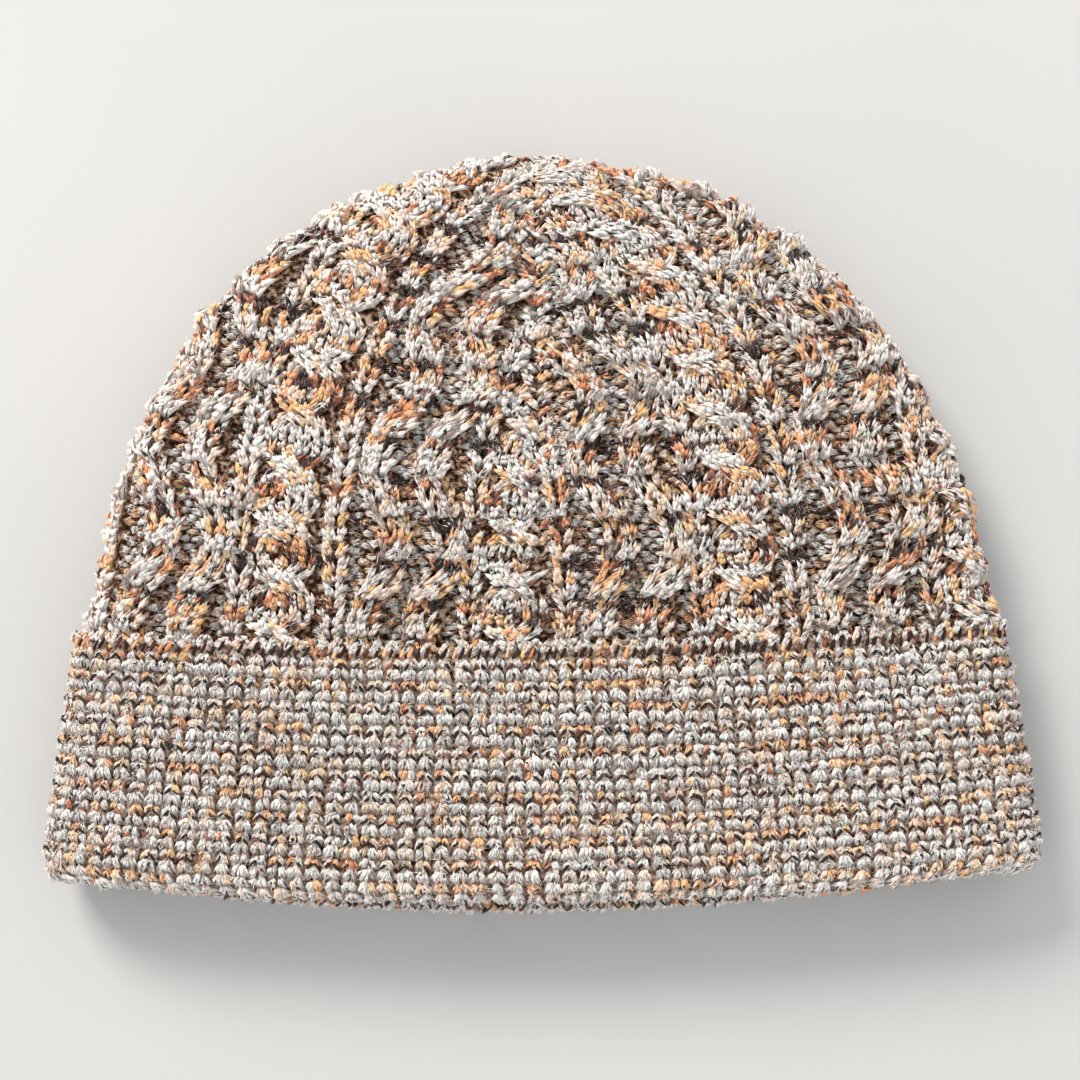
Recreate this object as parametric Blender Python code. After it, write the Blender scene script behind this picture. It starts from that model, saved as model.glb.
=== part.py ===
"""Watch cap, knitted in heathered wool, lying flat on its back.

Two pieces: the cable-knitted crown, and the cuff, a band of the same knitting turned up at the lower edge.
Metres. +X runs across the cap, +Y from the opening to the top of the crown, +Z up from the surface it
lies on. The origin is the middle of the cap on that surface.

Each course, a round of stitches, is a flat loop: nearly level where the cap rests, domed on the front and
round at the sides. The rounds of the crown go on up to a single point at its top. Four darts, at the front,
at the back and at the sides, take in the stitches that no longer fit.
"""

import math
from collections import namedtuple

import bmesh
import bpy
import numpy as np

# Outline of the cap as it lies
CAP_HEIGHT = 0.1950
CUFF_EDGE_WIDTH = 0.2514
CUFF_TOP_WIDTH = 0.2356
CUFF_HEIGHT = 0.0625
EDGE_BOW = 0.0100
CUFF_TOP_BOW = 0.0046
BACK_DROP = 0.0033
FLARE_POWER = 1.2
CROWN_ROUNDNESS = 2.16
# How far the cables draw in each side of the crown just above the cuff
CROWN_DRAW = 0.0030
DRAW_SHARE = 0.08
# The gathered tip at the crown's top: how far it stands above the round outline, and half its width
CROWN_TIP = 0.0036
TIP_WIDTH = 0.0200

# Thickness of the cap as it lies
CUFF_THICKNESS = 0.0265
CROWN_THICKNESS = 0.0300
SIDE_FOLD_HEIGHT = 0.0120
SIDE_FOLD_DEPTH = 0.0110
CUFF_SQUARENESS = 5.0
CROWN_SQUARENESS = 2.9

# Knitted walls
CROWN_WALL = 0.0036
CUFF_WALL = 0.0030
LAYER_GAP = 0.0006
JOIN_GAP = 0.0003
TUCK = 0.0100

# Stitches and rounds of the crown, and where its pattern starts, in stitches from the middle of the front
CROWN_STITCHES = 128
CROWN_ROUNDS = 44
REPEAT_STITCHES = 16
PATTERN_START = 4

# How far the pattern stands above the plain ground, and how far a dart is drawn in
PATTERN_RISE = 0.0028
DART_DEPTH = 0.0010

# Ribs of the cuff
CUFF_RIBS = 116
CUFF_RIB_RISE = 0.0008

# How the rounds drift: closer together up the middle, wider apart along the sides
ROUND_DRIFT = 0.195
# Shares of the crown's rise over which the front puffs up, the back settles and the darts deepen
PUFF_SHARE = 0.30
SETTLE_SHARE = 0.16
DART_START, DART_FULL = 0.12, 0.45
# A stitch nearer than this share of its width to a dart is caught in it, and the pattern fades out over the
# last stitches before a dart
CATCH_SHARE = 0.35
FADE_STITCHES = 3.0

# Rounds of the crown at which its inner and outer faces are drawn, counted down from the top
INNER_ROUNDS = (0.0, 1.5, 4.0, 10.0, 18.0, 28.0, 38.0, 44.0)
OUTER_STEP = 2.0
OUTER_LAST = 0.8
TOP_FADE_ROUNDS = 4.0
# Directions, in degrees, of the corners drawn round the fold at the lower edge
FOLD_TURNS = (45.0, 90.0, 135.0)
# Power of the curve of a course across the cap: a bow at the cuff, straight towards the top of the crown
BOW_BEND = 2.0
STRAIGHT_BEND = 1.0

ARC_POINTS = 49
MERGE_DISTANCE = 0.00001

Motif = namedtuple("Motif", "middle width rise sway crossing_rounds")
# One repeat of the crown's pattern, a rope and four ribs, of which two wind from side to side: middles,
# widths and sway in stitches, rise as a share of the pattern's, and the rounds between crossings of a rope
MOTIFS = (
    Motif(middle=2.0, width=4.0, rise=1.00, sway=0.0, crossing_rounds=4.0),
    Motif(middle=5.5, width=1.0, rise=0.50, sway=0.0, crossing_rounds=0.0),
    Motif(middle=8.9, width=2.0, rise=0.85, sway=1.1, crossing_rounds=0.0),
    Motif(middle=13.2, width=2.0, rise=0.85, sway=1.1, crossing_rounds=0.0),
    Motif(middle=15.5, width=1.0, rise=0.50, sway=0.0, crossing_rounds=0.0),
)
# A winding rib is back where it started after so many rounds, and first at its middle in this one
SWAY_ROUNDS = 12.0
SWAY_FIRST = 4.8
# The first round in which the ropes cross, and how deep they are cut between two crossings, as a share of
# their rise
CROSSING_FIRST = 0.7
CROSSING_CUT = 0.35
# Power of the curve of a rib across its width, and the slope to each side of it, in stitches
RIB_CURVE = 3.0
RIB_SLOPE = 0.5

Dent = namedtuple("Dent", "across up reach depth")
# Soft dents in the front: places as shares of half the width and of the height, depth as a share of the
# crown's thickness
DENTS = (
    Dent(across=-0.62, up=0.60, reach=0.16, depth=0.060),
    Dent(across=0.30, up=0.80, reach=0.12, depth=0.045),
    Dent(across=0.66, up=0.52, reach=0.15, depth=0.040),
    Dent(across=-0.05, up=0.28, reach=0.10, depth=0.030),
    Dent(across=-0.70, up=0.16, reach=0.12, depth=0.045),
    Dent(across=0.55, up=0.12, reach=0.13, depth=0.050),
)

Wool = namedtuple("Wool", "name colour roughness")
WOOLS = {
    "crown": Wool("crown_wool", (0.52, 0.42, 0.34), 0.95),
    "cuff": Wool("cuff_wool", (0.56, 0.47, 0.40), 0.95),
}

Course = namedtuple("Course", "front_y back_y side_x side_y bend under over squareness fold_depth")
Ring = namedtuple("Ring", "course inset relief")


def ease(share):
    """A smooth step from 0 to 1."""
    share = min(max(share, 0.0), 1.0)
    return share * share * (3.0 - 2.0 * share)


def blend(start, end, share):
    return start + (end - start) * share


def layer():
    """What the outer layer of the cuff takes up outside the layer below it."""
    return CUFF_WALL + LAYER_GAP


def cuff_top_y():
    return BACK_DROP + CUFF_HEIGHT


def band_half_width(share):
    """Half the width of the band's inner layer, from the lower edge, 0, to the cuff's top edge, 1."""
    flare = 1.0 - max(share, 0.0) ** FLARE_POWER
    return blend(CUFF_TOP_WIDTH, CUFF_EDGE_WIDTH, flare) / 2.0 - layer()


def cuff_course(height, inset):
    """A course of the band, at a height over its lower edge, inset from the inner layer's outer face."""
    share = height / CUFF_HEIGHT
    side_y = blend(EDGE_BOW, cuff_top_y() + CUFF_TOP_BOW, share)
    return Course(
        front_y=BACK_DROP + height,
        back_y=blend(0.0, cuff_top_y(), share),
        side_x=band_half_width(share) - inset,
        side_y=side_y,
        bend=BOW_BEND,
        under=layer() + inset,
        over=CUFF_THICKNESS - layer() - inset,
        squareness=CUFF_SQUARENESS,
        fold_depth=SIDE_FOLD_DEPTH - inset,
    )


def outline_point(share, inset):
    """A point on the side of the crown, a share of the way from the cuff's top edge to the crown's top."""
    width = band_half_width(1.0) - inset
    foot = cuff_top_y() + CUFF_TOP_BOW
    height = CAP_HEIGHT - CROWN_TIP - inset - foot
    turn = np.linspace(0.0, math.pi / 2.0, ARC_POINTS)
    x = width * np.cos(turn) ** (2.0 / CROWN_ROUNDNESS)
    tip = np.array([ease(1.0 - out / TIP_WIDTH) for out in x])
    y = foot + height * np.sin(turn) ** (2.0 / CROWN_ROUNDNESS) + CROWN_TIP * tip
    run = np.concatenate(([0.0], np.cumsum(np.hypot(np.diff(x), np.diff(y)))))
    drawn = CROWN_DRAW / width * ease(share / DRAW_SHARE)
    return np.interp(share * run[-1], run, x) * (1.0 - drawn), np.interp(share * run[-1], run, y)


def crown_course(share, inset):
    """A course of the crown, from the cuff's top edge, 0, to the crown's top, 1."""
    up_middle = share + ROUND_DRIFT * share * (1.0 - share)
    up_side = share - ROUND_DRIFT * share * (1.0 - share)
    rise = CAP_HEIGHT - inset - cuff_top_y()
    side_x, side_y = outline_point(up_side, inset)
    puffed = ease(share / PUFF_SHARE)
    settled = ease(share / SETTLE_SHARE)
    squareness = blend(CUFF_SQUARENESS, CROWN_SQUARENESS, puffed)
    front = blend(CUFF_THICKNESS - layer(), CROWN_THICKNESS, puffed) - inset
    rest = blend(layer(), 0.0, settled) + inset
    front_closing = (1.0 - min(up_middle, 1.0) ** CROWN_SQUARENESS) ** (1.0 / CROWN_SQUARENESS)
    left_over = rise * (1.0 - up_middle) / (SIDE_FOLD_DEPTH - inset)
    back_closing = math.sqrt(max(1.0 - max(1.0 - left_over, 0.0) ** 2, 0.0))
    middle_y = cuff_top_y() + rise * up_middle
    return Course(
        front_y=middle_y,
        back_y=middle_y,
        side_x=side_x,
        side_y=side_y,
        bend=blend(BOW_BEND, STRAIGHT_BEND, ease(share)),
        under=blend(SIDE_FOLD_HEIGHT, rest, back_closing),
        over=blend(SIDE_FOLD_HEIGHT, front, front_closing),
        squareness=squareness,
        fold_depth=SIDE_FOLD_DEPTH - inset,
    )


def dent_depth(x, y):
    """How far the front has sunk at a place."""
    depth = np.zeros_like(x)
    for dent in DENTS:
        away = np.hypot(x - dent.across * CUFF_TOP_WIDTH / 2.0, y - dent.up * CAP_HEIGHT)
        depth += dent.depth * CROWN_THICKNESS * np.exp(-((away / (dent.reach * CAP_HEIGHT)) ** 2))
    return depth


def quarter(course, front):
    """A quarter of a course as a run of points, from the middle of the front or back to the side."""
    turn = np.linspace(0.0, math.pi / 2.0, ARC_POINTS)
    if front:
        power = 2.0 / course.squareness
        out = np.sin(turn) ** power
        lift = np.cos(turn) ** power
        top = course.over - SIDE_FOLD_HEIGHT
        height = SIDE_FOLD_HEIGHT + top * lift
        middle_y = course.front_y
    else:
        flat = max(1.0 - course.fold_depth / max(course.side_x, MERGE_DISTANCE), 0.0)
        out = np.concatenate((np.linspace(0.0, flat, ARC_POINTS // 2, endpoint=False),
                              blend(flat, 1.0, np.sin(turn))))
        curl = np.concatenate((np.zeros(ARC_POINTS // 2), 1.0 - np.cos(turn)))
        lift = np.zeros_like(out)
        height = course.under + (SIDE_FOLD_HEIGHT - course.under) * curl
        middle_y = course.back_y
    x = course.side_x * out
    y = middle_y + (course.side_y - middle_y) * out ** course.bend
    if front:
        height = height - lift * dent_depth(x, y) * min(top / CROWN_WALL, 1.0)
    return x, y, height


def run_length(points):
    x, y, z = points
    return np.concatenate(([0.0], np.cumsum(np.sqrt(np.diff(x) ** 2 + np.diff(y) ** 2 + np.diff(z) ** 2))))


def place_on(course, side, front, share):
    """The point of a course at a share of the way from the middle of the front or back to one side."""
    points = quarter(course, front)
    run = run_length(points)
    x, y, z = (np.interp(share * run[-1], run, axis) for axis in points)
    return side * x, y - CAP_HEIGHT / 2.0, z


def split_round(position, stitches):
    """Where a stitch lies: its side, front or back, and its distance from the middle in stitches."""
    quarter_stitches = stitches / 4.0
    number = int(position // quarter_stitches)
    within = position - number * quarter_stitches
    side = 1 if number < 2 else -1
    front = number in (0, 3)
    return side, front, within if number in (0, 2) else quarter_stitches - within


def dart_share(from_middle, share):
    """A crown stitch's place in its quarter, and its distance to the nearest dart in stitches.

    The stitches keep their width, so the darts catch those at both ends that no longer fit.
    """
    stitches = CROWN_STITCHES / 4.0
    full = run_length(quarter(crown_course(DRAW_SHARE, 0.0), True))[-1]
    left = run_length(quarter(crown_course(share, 0.0), True))[-1]
    squeeze = max(full / max(left, MERGE_DISTANCE), 1.0)
    place = 0.5 + (from_middle / stitches - 0.5) * squeeze
    catch = CATCH_SHARE * squeeze / stitches
    if place < catch and squeeze > 1.0:
        place = 0.0
    if place > 1.0 - catch and squeeze > 1.0:
        place = 1.0
    return place, min(place, 1.0 - place) * stitches / squeeze


def motif_rise(motif, stitch, round_number):
    """Height of one rib or rope over the ground, as a share of the pattern's rise."""
    swing = math.sin(2.0 * math.pi * (round_number - SWAY_FIRST) / SWAY_ROUNDS)
    across = stitch - motif.middle - motif.sway * swing
    away = abs(across) / (motif.width / 2.0 + RIB_SLOPE)
    if away >= 1.0:
        return 0.0
    rise = motif.rise * (1.0 - away ** RIB_CURVE)
    if motif.crossing_rounds:
        turns = (round_number - CROSSING_FIRST + across) / motif.crossing_rounds
        rise *= 1.0 - CROSSING_CUT * (0.5 - 0.5 * math.cos(2.0 * math.pi * turns))
    return rise


def pattern_rise(position, round_number):
    """Height of the crown's pattern over its plain ground, at a stitch and a round."""
    stitch = (position + PATTERN_START) % REPEAT_STITCHES
    return PATTERN_RISE * max(motif_rise(motif, stitch, round_number) for motif in MOTIFS)


def standing_proud(front, height):
    """The pattern stands proud on the front and sides, and is pressed flat where the cap rests."""
    return 1.0 if front else ease(height / SIDE_FOLD_HEIGHT)


def crown_point(ring, column):
    """A corner of the crown's mesh; the stitches caught in a dart lie at one point of its ground."""
    position = column + 0.5
    side, front, from_middle = split_round(position, CROWN_STITCHES)
    share = max(ring.course, 0.0)
    place, to_dart = dart_share(from_middle, share)

    def course(inset):
        if ring.course < 0.0:
            return cuff_course(CUFF_HEIGHT + ring.course, inset)
        return crown_course(ring.course, inset)

    at_rest = place_on(course(ring.inset), side, front, place)
    if not ring.relief:
        return at_rest
    drawn_in = ease((share - DART_START) / (DART_FULL - DART_START))
    clear = ease(to_dart / FADE_STITCHES)
    kept = blend(1.0, clear, drawn_in) if to_dart > 0.0 else 0.0
    rise = pattern_rise(position, share * CROWN_ROUNDS) * kept
    groove = DART_DEPTH * drawn_in * (1.0 - clear)
    relief = (rise - groove) * ring.relief * standing_proud(front, at_rest[2])
    return place_on(course(ring.inset - relief), side, front, place)


def cuff_point(ring, column):
    """A corner of the cuff's mesh: even columns lie between two ribs, odd ones on a rib."""
    side, front, from_middle = split_round(column / 2.0, CUFF_RIBS)
    place = from_middle / (CUFF_RIBS / 4.0)
    at_rest = place_on(cuff_course(ring.course, ring.inset), side, front, place)
    if not ring.relief or column % 2:
        return at_rest
    relief = CUFF_RIB_RISE * ring.relief * standing_proud(front, at_rest[2])
    return place_on(cuff_course(ring.course, ring.inset + relief), side, front, place)


def crown_rings():
    """Rings of the crown's shell: down its inner face, round its tucked lower edge and up its outer face."""
    rings = [Ring(1.0 - left / CROWN_ROUNDS, CROWN_WALL, 0.0) for left in INNER_ROUNDS]
    rings += [Ring(-TUCK, CROWN_WALL, 0.0), Ring(-TUCK, 0.0, 0.0), Ring(0.0, 0.0, 0.0)]
    outside = np.arange(CROWN_ROUNDS - OUTER_STEP, OUTER_STEP / 2.0, -OUTER_STEP)
    outside = np.append(outside, (OUTER_LAST, 0.0))
    rings += [Ring(1.0 - left / CROWN_ROUNDS, 0.0, ease(left / TOP_FADE_ROUNDS)) for left in outside]
    return rings


def cuff_rings():
    """Rings of the band: down its inner face, round the fold, up outside and back between the layers."""
    radius = CUFF_WALL + LAYER_GAP / 2.0
    middle = -LAYER_GAP / 2.0
    outer = -layer()
    seat = CUFF_HEIGHT - TUCK - JOIN_GAP
    lip = CUFF_WALL / 2.0
    rings = [Ring(seat, CUFF_WALL, 0.0), Ring(radius, CUFF_WALL, 0.0)]
    for turn in FOLD_TURNS:
        angle = math.radians(turn)
        height = radius - radius * math.sin(angle)
        rings.append(Ring(height, middle + radius * math.cos(angle), angle / math.pi))
    rings += [
        Ring(radius, outer, 1.0),
        Ring(CUFF_HEIGHT * 0.5, outer, 1.0),
        Ring(CUFF_HEIGHT - lip / 2.0, outer, 1.0),
        Ring(CUFF_HEIGHT, outer + lip, 0.0),
        Ring(CUFF_HEIGHT - lip / 2.0, -LAYER_GAP, 0.0),
        Ring(radius, -LAYER_GAP, 0.0),
        Ring(radius, 0.0, 0.0),
        Ring(seat, 0.0, 0.0),
        Ring(seat, CUFF_WALL, 0.0),
    ]
    return rings


def knit_loft(name, rings, columns, place):
    """A closed shell: a circle of columns, extruded from ring to ring and placed by a function."""
    shell = bmesh.new()
    number = shell.verts.layers.int.new("column")
    loop = bmesh.ops.create_circle(shell, segments=columns, radius=1.0)["verts"]
    for column, corner in enumerate(loop):
        corner[number] = column
        corner.co = place(rings[0], column)
    edges = list(shell.edges)
    for ring in rings[1:]:
        grown = bmesh.ops.extrude_edge_only(shell, edges=edges)["geom"]
        for corner in grown:
            if isinstance(corner, bmesh.types.BMVert):
                corner.co = place(ring, corner[number])
        edges = [edge for edge in grown if isinstance(edge, bmesh.types.BMEdge) and edge.is_boundary]
    bmesh.ops.remove_doubles(shell, verts=shell.verts, dist=MERGE_DISTANCE)
    bmesh.ops.dissolve_degenerate(shell, edges=shell.edges, dist=MERGE_DISTANCE)
    bmesh.ops.recalc_face_normals(shell, faces=shell.faces)
    mesh = bpy.data.meshes.new(name)
    shell.to_mesh(mesh)
    shell.free()
    mesh.shade_smooth()
    return mesh


def wool_material(wool):
    """Undyed-looking heathered wool: matt all over."""
    material = bpy.data.materials.new(wool.name)
    material.use_nodes = True
    shader = material.node_tree.nodes["Principled BSDF"]
    shader.inputs["Base Color"].default_value = (*wool.colour, 1.0)
    shader.inputs["Roughness"].default_value = wool.roughness
    shader.inputs["Metallic"].default_value = 0.0
    return material


def add_piece(collection, name, mesh):
    piece = bpy.data.objects.new(name, mesh)
    mesh.materials.append(wool_material(WOOLS[name]))
    collection.objects.link(piece)
    return piece


def build_crown(collection):
    return add_piece(collection, "crown", knit_loft("crown", crown_rings(), CROWN_STITCHES, crown_point))


def build_cuff(collection):
    return add_piece(collection, "cuff", knit_loft("cuff", cuff_rings(), 2 * CUFF_RIBS, cuff_point))


def main():
    for leftover in list(bpy.data.objects):
        bpy.data.objects.remove(leftover, do_unlink=True)
    collection = bpy.data.collections.new("watch_cap")
    bpy.context.scene.collection.children.link(collection)
    build_crown(collection)
    build_cuff(collection)


main()
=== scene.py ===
"""Looks of the watch cap: every visible stitch is modelled, in marled wool, on the form of the CAD pieces.

Metres, in the frame of the CAD: +X across the cap, +Y from the opening to its top, +Z up from the floor.
A knitted tube is a stack of loops of points. A stitch is a few lobes of yarn that lie on it, placed in
quarters of a turn round the tube and in rounds up it. Tapering strands of fibre lie over each lobe, and loose
hairs over those.
"""

import math
from collections import namedtuple
from functools import cache

import bmesh
import bpy
import numpy as np
from mathutils import Matrix


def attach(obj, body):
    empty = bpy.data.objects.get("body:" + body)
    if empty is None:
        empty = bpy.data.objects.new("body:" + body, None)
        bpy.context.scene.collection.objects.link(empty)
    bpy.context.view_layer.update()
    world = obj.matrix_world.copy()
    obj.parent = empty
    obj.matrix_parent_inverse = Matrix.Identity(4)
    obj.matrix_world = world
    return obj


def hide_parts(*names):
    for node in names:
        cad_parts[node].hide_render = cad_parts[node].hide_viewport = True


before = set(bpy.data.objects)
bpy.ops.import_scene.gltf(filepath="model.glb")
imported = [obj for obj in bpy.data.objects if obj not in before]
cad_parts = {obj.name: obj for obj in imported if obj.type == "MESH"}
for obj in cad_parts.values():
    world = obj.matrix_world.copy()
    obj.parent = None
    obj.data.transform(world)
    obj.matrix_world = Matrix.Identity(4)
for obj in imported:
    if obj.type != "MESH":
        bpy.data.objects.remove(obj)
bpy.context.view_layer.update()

# Form of the cap as it lies, as in the CAD: its outline and the bows of its edges
CAP_HEIGHT = 0.1950
CUFF_EDGE_WIDTH = 0.2514
CUFF_TOP_WIDTH = 0.2356
CUFF_HEIGHT = 0.0625
EDGE_BOW = 0.0100
CUFF_TOP_BOW = 0.0046
BACK_DROP = 0.0033
FLARE_POWER = 1.2
CROWN_ROUNDNESS = 2.16
# Just above the cuff the ropes draw in the sides of the crown
CROWN_DRAW = 0.0030
DRAW_SHARE = 0.08
# The crown's gathered tip: its height over the round outline, and half its width
CROWN_TIP = 0.0036
TIP_WIDTH = 0.0200
# Thickness, and the folds at the sides
CUFF_THICKNESS = 0.0265
CROWN_THICKNESS = 0.0300
SIDE_FOLD_HEIGHT = 0.0120
SIDE_FOLD_DEPTH = 0.0110
CUFF_SQUARENESS = 5.0
CROWN_SQUARENESS = 2.9
# Knitted walls
CROWN_WALL = 0.0036
CUFF_WALL = 0.0030
LAYER_GAP = 0.0006
JOIN_GAP = 0.0003
TUCK = 0.0100
LAYER = CUFF_WALL + LAYER_GAP
FOLD_RADIUS = CUFF_WALL + LAYER_GAP / 2.0
CUFF_TOP_Y = BACK_DROP + CUFF_HEIGHT
# Rounds lie closer together up the middle and wider apart along the sides
ROUND_DRIFT = 0.195
# Shares of the crown's rise over which the front puffs up and the back settles
PUFF_SHARE = 0.30
SETTLE_SHARE = 0.16
# Power of a course's curve across the cap: a bow at the cuff, straight at the top
BOW_BEND = 2.0
STRAIGHT_BEND = 1.0
Dent = namedtuple("Dent", "across up reach depth")
# Soft dents in the front: places as shares of half the width and of the height, depth of the thickness
DENTS = (
    Dent(-0.62, 0.60, 0.16, 0.060), Dent(0.30, 0.80, 0.12, 0.045), Dent(0.66, 0.52, 0.15, 0.040),
    Dent(-0.05, 0.28, 0.10, 0.030), Dent(-0.70, 0.16, 0.12, 0.045), Dent(0.55, 0.12, 0.13, 0.050),
)

# Crown: its stitches, its rounds over the cuff's top edge, and the first one behind the cuff
CROWN_STITCHES = 128
QUARTER_STITCHES = CROWN_STITCHES // 4
CROWN_ROUNDS = 44
CROWN_START = -3.0
# Its pattern: stitches in a repeat, the one right of the front's middle, and the height of its forms
REPEAT = 16
PATTERN_START = 4
PATTERN_RISE = 0.0032
# Darts take in the crown from the first of these shares of its rise, and wholly from the second
DART_START, DART_FULL = 0.12, 0.45
DART_DEPTH = 0.0010
# A stitch nearer to a dart is caught in it. Below the darts it may lie so far over their line. Over the last
# stitches the pattern fades out
CATCH_STITCHES = 0.35
OVERLAP_STITCHES = 0.5
FADE_STITCHES = 3.0
# Winding ribs: stitches that they sway, how often, and a round in which they are at their middle
SWAY = 1.1
SWAY_ROUNDS = 12.0
SWAY_FIRST = 4.8
# Ropes: wales in a strand, how often strands cross, first in which round, rounds that it takes, and how high
# the strands lie then
STRAND_WALES = 2
CROSSING_ROUNDS = 4.0
CROSSING_FIRST = 0.7
CROSSING_LENGTH = 2.8
CROSSING_LIFT, CROSSING_DIP = 0.0013, -0.0004

# One repeat of the chart: rope, purl, single rib, purl, winding rib, purl, winding rib, purl, single rib
CHART = "RRRRpkppWWppWWpk"
# Knit wales stand wide and purl wales draw in: where each stitch then starts, in even stitches
KNIT_WIDTH, PURL_WIDTH = 1.20, 0.6667
STITCH_STARTS = np.cumsum([0.0] + [PURL_WIDTH if kind == "p" else KNIT_WIDTH for kind in CHART])
# How far to the right they start from the middle of the front, in even stitches
PATTERN_SHIFT = 0.5
# Sideways sway at these stitches of the repeat, as a share of the whole
SWAY_AT = (0.0, 4.5, 5.5, 8.9, 13.2, 15.5, 16.0)
SWAY_SHARE = (0.0, 0.0, 0.0, 1.0, 1.0, 0.0, 0.0)
Motif = namedtuple("Motif", "middle width rise sways")
# Raised forms of one repeat: middle and width in stitches, share of the rise, and whether it winds
MOTIFS = (Motif(2.0, 4.0, 0.80, 0.0), Motif(5.5, 1.0, 0.45, 0.0), Motif(8.9, 2.0, 0.70, 1.0),
          Motif(13.2, 2.0, 0.70, 1.0), Motif(15.5, 1.0, 0.45, 0.0))
# Power of the curve across such a form, and the slope to each side of it, in stitches
MOTIF_CURVE = 3
MOTIF_SLOPE = 0.5

# Cuff: its wales, the height of a round, and the first round, up inside. The fold is round 0
CUFF_WALES = 116
CUFF_ROUND = 0.00280
CUFF_START = -16.0
# Rounds that its bound-off edge takes, and those by which it stands over the top of the solid
EDGE_ROUNDS = 1.1
EDGE_RISE = 0.5

# Quarters of a turn in a round, points worked out along a curve, and points kept of a quarter
QUARTERS = 4.0
ARC_POINTS = 65
QUARTER_POINTS = 40
# The least to divide by: a length or share, a direction, and the product of two short steps
TINY, SHORTEST, FLATTEST = 1e-6, 1e-9, 1e-12
# A place is looked up this far before a table's end, so that there is a row above it
TABLE_END = 1.001
# The least height over the floor, of the wool and of the shells under it
WOOL_FLOOR, SHELL_FLOOR = 0.00005, 0.0006
# Corners of a shell closer than this become one
MERGE_DISTANCE = 0.00001

# A round of the form: places of its front, back and side, the bend of its bow, the heights of its back and
# front, how square its front is, and the depth of its side folds
Course = namedtuple("Course", "front_y back_y side_x side_y bend under over squareness fold_depth")
# Loops of points with the outward directions there, the round of the first, and rounds from one to the next
Tube = namedtuple("Tube", "points normals first step")
# Many lobes: three points of each middle line, as place round the tube, round and height, the stitch and the
# course that each has on the yarn, and its place in the palette
Lobes = namedtuple("Lobes", "path half_width half_depth yarn tone")
# A lobe of one stitch: its points as stitches across, rounds up and height, and the range of its tones
LobeForm = namedtuple("LobeForm", "points half_width half_depth tones", defaults=(None,))

# Lobes of the crown. Those of knit stitches are the right legs, which are mirrored for the left ones
ROPE_TOP = LobeForm(((0.14, -0.42, -0.0007), (0.24, 0.04, 0.0006), (0.32, 0.54, 0.0005)), 0.00118, 0.00096,
                    (0.26, 0.92))
ROPE = LobeForm(((0.12, -0.52, -0.0010), (0.24, 0.06, 0.0007), (0.34, 0.72, 0.0007)), 0.00104, 0.00088,
                (0.02, 0.88))
WINDING_RIB = LobeForm(((0.09, -0.52, -0.0008), (0.28, 0.08, 0.0004), (0.46, 0.80, 0.0003)), 0.00100, 0.00086)
SINGLE_RIB = LobeForm(((0.08, -0.50, -0.0009), (0.31, 0.08, 0.0008), (0.54, 0.78, 0.0008)), 0.00110, 0.00090)
DART = LobeForm(((-0.12, -0.45, 0.0004), (0.42, 0.15, 0.0009), (1.02, 0.80, -0.0003)), 0.00100, 0.00085)
PURL_BUMP = LobeForm(((-0.46, 0.18, -0.0006), (0.0, 0.30, 0.0003), (0.46, 0.18, -0.0006)), 0.00074, 0.00062)
PURL_DIP = LobeForm(((0.06, -0.18, -0.0006), (0.5, -0.28, 0.0003), (0.94, -0.18, -0.0006)), 0.00074, 0.00062)
Bead = namedtuple("Bead", "lean rise size tones")
# Rounds of pale, ochre and dark wool take turns from this round, and the ribs bead with them: stitches that a
# leg leans to the right, its rise, size and tones
BEAD_FIRST = 1.0
BEADS = (Bead(0.24, 0.0020, 1.12, (0.40, 0.97)), Bead(0.14, 0.0014, 1.02, (0.15, 0.84)),
         Bead(0.0, 0.0, 0.90, (-0.16, 0.80)))
# Shares of the rise at a leg's foot, middle and tip, and how much darker the tones of a right leg are:
# painted shade on the side of the rib turned from the light, which falls from the upper left
WINDING_RISE = (0.0, 1.0, 0.9)
SINGLE_RISE = (0.0, 0.4, 0.4)
RIGHT_LEG_PAINTED_SHADE = (0.06, 0.16)

# Lobes of the cuff, upside down as the band is, with their first round: a pale round stands proud of a darker
# one, and a dark ply zigzags above it, in the gap where shade falls: partly dark yarn and partly painted
# shade
CUFF_FORMS = (
    (-6, LobeForm(((0.05, 0.66, 0.0004), (0.18, 0.05, 0.0010), (0.34, -0.68, -0.0003)), 0.00118, 0.00092,
                  (0.40, 0.95))),
    (-5, LobeForm(((0.06, 0.52, 0.0001), (0.18, -0.05, 0.0006), (0.32, -0.64, -0.0004)), 0.00114, 0.00088,
                  (0.19, 0.86))),
    (-6, LobeForm(((0.02, 0.96, 0.0017), (0.20, 0.70, 0.0020), (0.40, 0.36, 0.0012)), 0.00046, 0.00040,
                  (-0.30, 0.13))),
)
# Lobes narrower than this to each side are dark plies, partly dark yarn and partly painted shade, and so many
# of those come to the surface
DARK_PLY_SHADE_WIDTH = 0.0007
DARK_PLY_SHADE_SHARE = 0.7
# Both legs of the loops that bind off the edge, and the dark plies that show inside them, partly dark yarn
# and partly painted shade
EDGE_FORMS = (
    LobeForm(((-0.42, -1.25, 0.0008), (-0.26, -0.55, 0.0018), (0.04, 0.02, 0.0012)), 0.00080, 0.00072,
             (0.42, 0.95)),
    LobeForm(((0.36, -1.00, 0.0005), (0.30, -0.50, 0.0013), (0.06, -0.02, 0.0009)), 0.00066, 0.000594,
             (0.22, 0.92)),
    LobeForm(((-0.20, -1.65, 0.0013), (-0.02, -1.05, 0.0018), (0.14, -0.45, 0.0012)), 0.00062, 0.000558,
             (-0.30, 0.24)),
    LobeForm(((0.36, -1.70, 0.0012), (0.50, -1.15, 0.0016), (0.62, -0.55, 0.0010)), 0.00058, 0.000522,
             (-0.30, 0.34)),
)

Dye = namedtuple("Dye", "stitches speckle")
# The dye holds for about so many stitches, and so much of it is left to chance at each stitch
CROWN_DYE = Dye(stitches=1.5, speckle=0.55)
CUFF_DYE = Dye(stitches=2.0, speckle=0.30)
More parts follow.
